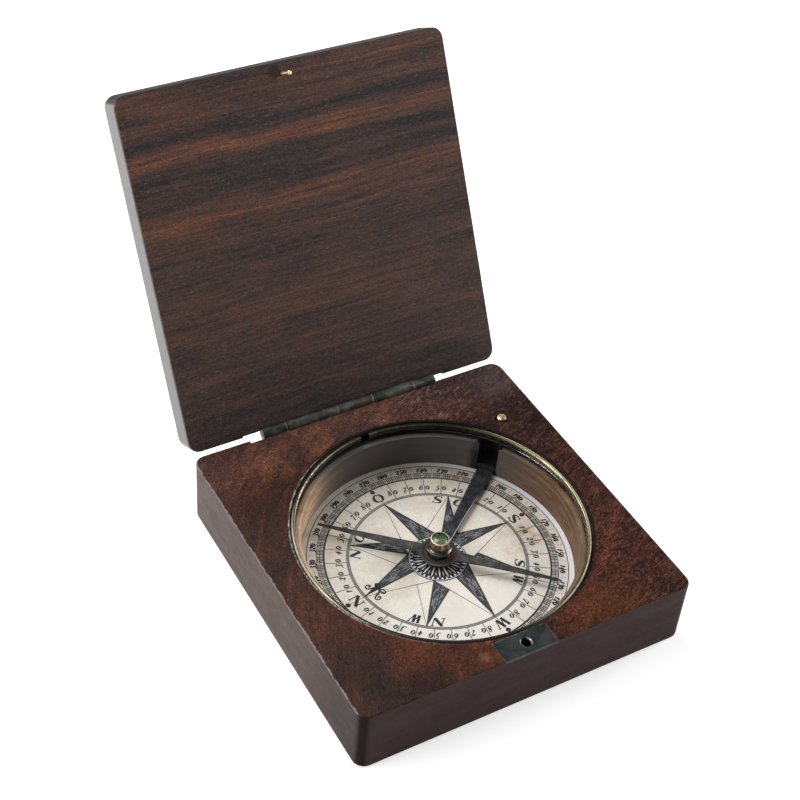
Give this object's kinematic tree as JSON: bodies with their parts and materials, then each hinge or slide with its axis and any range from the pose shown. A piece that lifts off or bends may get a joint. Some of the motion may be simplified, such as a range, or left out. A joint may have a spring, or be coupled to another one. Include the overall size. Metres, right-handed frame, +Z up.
{
  "type": "ship compass",
  "caption": "Square wooden case with hinged lid, holding a round printed compass card, pivoted needle and glass; closing the lid lifts and locks the needle.",
  "frame": {"origin": "centre of the case's square underside", "axes": "+Z up out of the open case, +Y towards the lid's hinge, -Y towards the catch, +X to the right seen from the catch side"},
  "size_m": [0.09, 0.1395, 0.0979],
  "materials": {
    "mahogany": "worn oiled, satin",
    "rosewood": "dark polished, satin",
    "paper": "aged matt, printed",
    "glass": "clear",
    "brass": "worn, patchy tarnish",
    "dark_brass": "oxidised nearly black",
    "bright_brass": "polished by handling",
    "blued_steel": "blued, satin",
    "steel": "dull",
    "jewel": "polished agate or glass"
  },
  "bodies": {
    "base": {"base_box": "mahogany", "compass_card": "paper", "pivot_post": "brass", "pivot_point": "steel", "glass_window": "glass", "bezel_ring": "brass", "catch_plate": "dark_brass", "hinge_leaf_base": "dark_brass", "hinge_pin": "steel", "hinge_screw_base_1": "steel", "hinge_screw_base_2": "steel", "hinge_screw_base_3": "steel", "lever_fulcrum_pin": "steel"},
    "lid": {"lid_board": "rosewood", "hinge_leaf_lid": "dark_brass", "hinge_screw_lid_1": "steel", "hinge_screw_lid_2": "steel", "hinge_screw_lid_3": "steel", "lid_prong": "bright_brass"},
    "lock_pin": {"lock_pin": "bright_brass"},
    "lifter": {"lifter_lever": "blued_steel"},
    "cap": {"needle_cap": "brass", "cap_jewel": "jewel"},
    "needle": {"needle": "blued_steel"}
  },
  "joints": [
    {"name": "lid_hinge", "type": "hinge", "parent": "base", "child": "lid", "pos_m": [0, 0.04555, 0.0181], "axis": [-1, 0, 0], "range_deg": [-118, 0]},
    {"name": "lock_pin_slide", "type": "slide", "parent": "base", "child": "lock_pin", "axis": [0, 0, -1], "range_m": [0, 0.00045]},
    {"name": "lifter_hinge", "type": "hinge", "parent": "base", "child": "lifter", "pos_m": [0.02808, 0.01994, 0.00685], "axis": [-0.6177, 0.7864, 0], "range_deg": [0, 3.39]},
    {"name": "cap_lift", "type": "slide", "parent": "base", "child": "cap", "axis": [0, 0, 1], "range_m": [0, 0.00175]},
    {"name": "needle_spin", "type": "hinge", "parent": "cap", "child": "needle", "pos_m": [0.0004, -0.0018, 0.0082], "axis": [0, 0, 1], "continuous": true}
  ],
  "couplings": [
    {"joint": "lock_pin_slide", "follows": "lid_hinge", "m_per_rad": -0.000218},
    {"joint": "lifter_hinge", "follows": "lid_hinge", "ratio": -0.0287},
    {"joint": "cap_lift", "follows": "lid_hinge", "m_per_rad": -0.000849}
  ]
}
